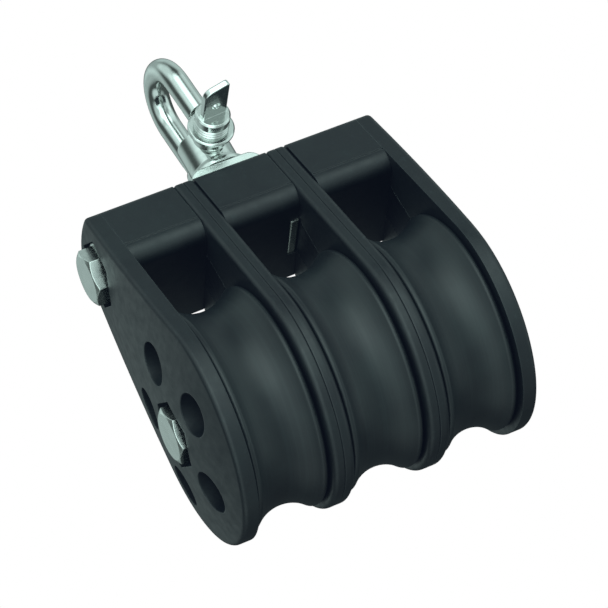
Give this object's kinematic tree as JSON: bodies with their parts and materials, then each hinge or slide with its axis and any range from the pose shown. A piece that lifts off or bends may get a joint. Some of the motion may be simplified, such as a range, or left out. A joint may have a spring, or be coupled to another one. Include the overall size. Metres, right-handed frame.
{
  "type": "triple sheave block",
  "caption": "Side-by-side rope block: grooved sheaves on one axle between teardrop cheeks, joined by a head with a steel strap, swivel eye and screw-pin D-shackle.",
  "frame": {"origin": "axle centre line at the middle of the middle sheave", "axes": "+X along the axle towards the nut side, +Z from the axle up through the head to the shackle, -Y the front, where the shackle pin's lug stands out"},
  "size_m": [0.1146, 0.0766, 0.1661],
  "materials": {
    "nylon": "satin moulded black nylon",
    "sheave_plastic": "smooth satin dark grey, turned",
    "bush_plastic": "turned acetal",
    "lock_ring_nylon": "white nylon",
    "stainless": "stainless, lightly brushed",
    "polished_stainless": "polished stainless"
  },
  "bodies": {
    "shackle": {"shackle_body": "polished_stainless"},
    "pin": {"shackle_pin": "polished_stainless"},
    "swivel": {"swivel_eye": "polished_stainless", "swivel_washer": "stainless", "swivel_nut": "stainless"},
    "frame": {"outer_cheek_left": "nylon", "outer_cheek_right": "nylon", "inner_cheek_1_left": "nylon", "inner_cheek_1_right": "nylon", "inner_cheek_2_left": "nylon", "inner_cheek_2_right": "nylon", "head_spacer_left": "nylon", "head_spacer_middle": "nylon", "head_spacer_right": "nylon", "load_strap_1": "stainless", "load_strap_2": "stainless", "load_strap_3": "stainless", "load_strap_4": "stainless", "load_strap_5": "stainless", "load_strap_6": "stainless", "head_strap": "stainless", "head_sleeve": "stainless", "axle_bolt": "stainless", "axle_washers": "stainless", "axle_nut": "stainless", "head_bolt": "stainless", "head_washers": "stainless", "head_nut": "stainless", "lock_rings": "lock_ring_nylon", "axle_sleeve_left": "stainless", "axle_sleeve_middle": "stainless", "axle_sleeve_right": "stainless"},
    "sheave_left": {"sheave_left": "sheave_plastic", "sheave_bush_left": "bush_plastic"},
    "sheave_middle": {"sheave_middle": "sheave_plastic", "sheave_bush_middle": "bush_plastic"},
    "sheave_right": {"sheave_right": "sheave_plastic", "sheave_bush_right": "bush_plastic"}
  },
  "joints": [
    {"name": "pin_slide", "type": "slide", "parent": "shackle", "child": "pin", "axis": [0.0349, -0.9994, 0], "range_m": [0, 0.0305]},
    {"name": "shackle_tilt", "type": "hinge", "parent": "shackle", "child": "swivel", "pos_m": [0, 0, 0.09], "axis": [-0.0349, 0.9994, 0], "range_deg": [-99, 91]},
    {"name": "swivel_turn", "type": "hinge", "parent": "swivel", "child": "frame", "pos_m": [0, 0, 0.0785], "axis": [0, 0, 1], "continuous": true},
    {"name": "sheave_left_spin", "type": "hinge", "parent": "frame", "child": "sheave_left", "pos_m": [-0.0326, 0, 0], "axis": [1, 0, 0], "continuous": true},
    {"name": "sheave_middle_spin", "type": "hinge", "parent": "frame", "child": "sheave_middle", "pos_m": [0, 0, 0], "axis": [1, 0, 0], "continuous": true},
    {"name": "sheave_right_spin", "type": "hinge", "parent": "frame", "child": "sheave_right", "pos_m": [0.0326, 0, 0], "axis": [1, 0, 0], "continuous": true}
  ]
}
